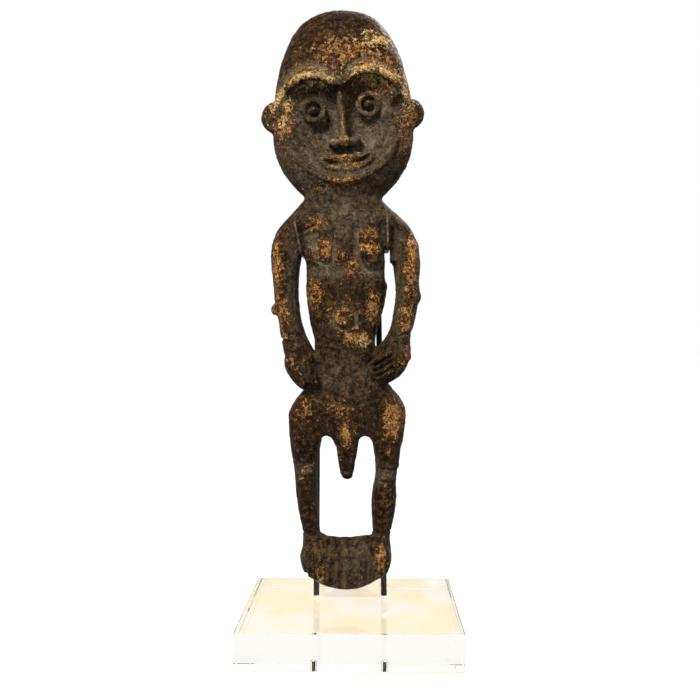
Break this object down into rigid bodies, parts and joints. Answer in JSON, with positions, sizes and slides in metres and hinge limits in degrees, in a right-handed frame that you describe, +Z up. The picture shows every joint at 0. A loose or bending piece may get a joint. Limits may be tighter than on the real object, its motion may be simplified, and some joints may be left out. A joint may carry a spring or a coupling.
{
  "type": "carved ancestor figure on display stand",
  "caption": "Standing carved wooden ancestor figure, hands on hips on a curved plinth, hung by its armpits on black uprights in a clear block; it lifts off its hooks.",
  "frame": {"origin": "centre of the clear block's underside, on the surface it stands on", "axes": "+Z up, the figure faces -Y, +X is to the right seen from the front"},
  "size_m": [0.1524, 0.1016, 0.4518],
  "materials": {
    "clear_acrylic": "polished, clear",
    "black_painted_steel": "satin black",
    "toned_brass": "dull, toned to the wood",
    "black_tubing": "satin",
    "carved_wood": "dark crusted patina with clay in the recesses, worn to pale wood on the high spots"
  },
  "bodies": {
    "stand": {"acrylic_block": "clear_acrylic", "left_rod": "black_painted_steel", "right_rod": "black_painted_steel", "left_hook": "toned_brass", "right_hook": "toned_brass", "left_hook_sleeve": "black_tubing", "right_hook_sleeve": "black_tubing"},
    "figure": {"carved_figure": "carved_wood"}
  },
  "joints": [
    {"name": "figure_lift", "type": "slide", "parent": "stand", "child": "figure", "axis": [0, 0, 1], "range_m": [0, 0.023]}
  ]
}
